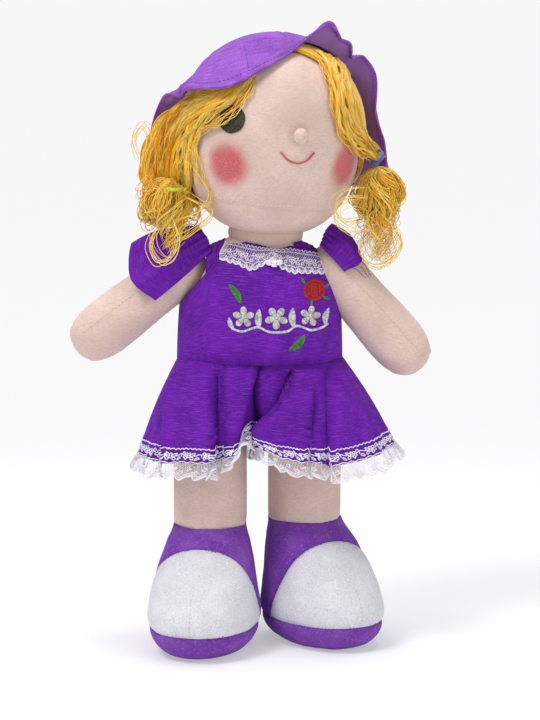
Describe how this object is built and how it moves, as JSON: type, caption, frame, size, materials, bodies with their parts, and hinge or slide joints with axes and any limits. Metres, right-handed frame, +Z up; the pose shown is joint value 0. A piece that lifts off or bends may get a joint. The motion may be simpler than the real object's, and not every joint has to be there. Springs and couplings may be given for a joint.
{
  "type": "rag doll",
  "caption": "Standing stuffed rag doll with a large head, side bunches, a wide soft hat, a pleated lace-trimmed romper, jointed arms, legs and neck, and padded shoes.",
  "frame": {"origin": "on the floor, under the middle of the whole doll's box", "axes": "+Z up, the doll's front faces -Y, its own left is +X"},
  "size_m": [0.265, 0.1676, 0.4485],
  "materials": {
    "skin_jersey": "matte brushed jersey",
    "purple_cotton": "matte woven cotton",
    "hat_cotton": "matte woven cotton",
    "purple_plush": "short plush",
    "white_panel": "brushed jersey",
    "lace": "net lace",
    "hair_fibre": "shiny curled synthetic fibre",
    "eye_felt": "felt",
    "blue_elastic": "covered elastic",
    "yellow_elastic": "covered elastic"
  },
  "bodies": {
    "torso": {"torso": "skin_jersey", "bodice_front": "purple_cotton", "bodice_back": "purple_cotton", "neckline_lace": "lace", "lace_bow": "lace", "shoulder_strap_right": "purple_cotton", "shoulder_strap_left": "purple_cotton", "shoulder_tie_right": "purple_cotton", "shoulder_tie_left": "purple_cotton", "romper_leg_right": "purple_cotton", "romper_leg_left": "purple_cotton", "hem_lace_right": "lace", "hem_lace_left": "lace"},
    "neck": {"neck": "skin_jersey"},
    "head": {"head": "skin_jersey", "nose": "skin_jersey", "eye_right": "eye_felt", "eye_left": "eye_felt", "hat_crown": "hat_cotton", "hat_brim": "hat_cotton", "hair_cap": "hair_fibre", "hair_lock_right": "hair_fibre", "hair_lock_left": "hair_fibre", "hair_band_right": "yellow_elastic", "hair_band_left": "blue_elastic", "hair_bunch_right": "hair_fibre", "hair_bunch_left": "hair_fibre"},
    "arm_right": {"arm_right": "skin_jersey"},
    "leg_right": {"leg_right": "skin_jersey", "shoe_upper_right": "purple_plush", "toe_panel_right": "white_panel", "shoe_sole_right": "purple_plush"},
    "arm_left": {"arm_left": "skin_jersey"},
    "leg_left": {"leg_left": "skin_jersey", "shoe_upper_left": "purple_plush", "toe_panel_left": "white_panel", "shoe_sole_left": "purple_plush"}
  },
  "joints": [
    {"name": "neck_turn", "type": "hinge", "parent": "torso", "child": "neck", "pos_m": [0.01104, 0.00465, 0.303], "axis": [0, 0, 1], "range_deg": [-60, 30], "deforming": ["hair_bunch_right", "hair_bunch_left"]},
    {"name": "head_nod", "type": "hinge", "parent": "neck", "child": "head", "pos_m": [0.01104, 0.00465, 0.303], "axis": [0.9483, 0.3173, 0], "range_deg": [-20, 8]},
    {"name": "shoulder_right", "type": "hinge", "parent": "torso", "child": "arm_right", "pos_m": [-0.05046, 0.00465, 0.272], "axis": [-1, 0, 0], "range_deg": [-45, 90], "deforming": ["shoulder_tie_right"]},
    {"name": "hip_right", "type": "hinge", "parent": "torso", "child": "leg_right", "pos_m": [-0.02926, 0.00465, 0.18], "axis": [-1, 0, 0], "range_deg": [-30, 82], "deforming": ["romper_leg_right", "hem_lace_right"]},
    {"name": "shoulder_left", "type": "hinge", "parent": "torso", "child": "arm_left", "pos_m": [0.06054, 0.00465, 0.272], "axis": [-1, 0, 0], "range_deg": [-45, 90], "deforming": ["shoulder_tie_left"]},
    {"name": "hip_left", "type": "hinge", "parent": "torso", "child": "leg_left", "pos_m": [0.03934, 0.00465, 0.18], "axis": [-1, 0, 0], "range_deg": [-22, 82], "deforming": ["romper_leg_left", "hem_lace_left"]}
  ]
}
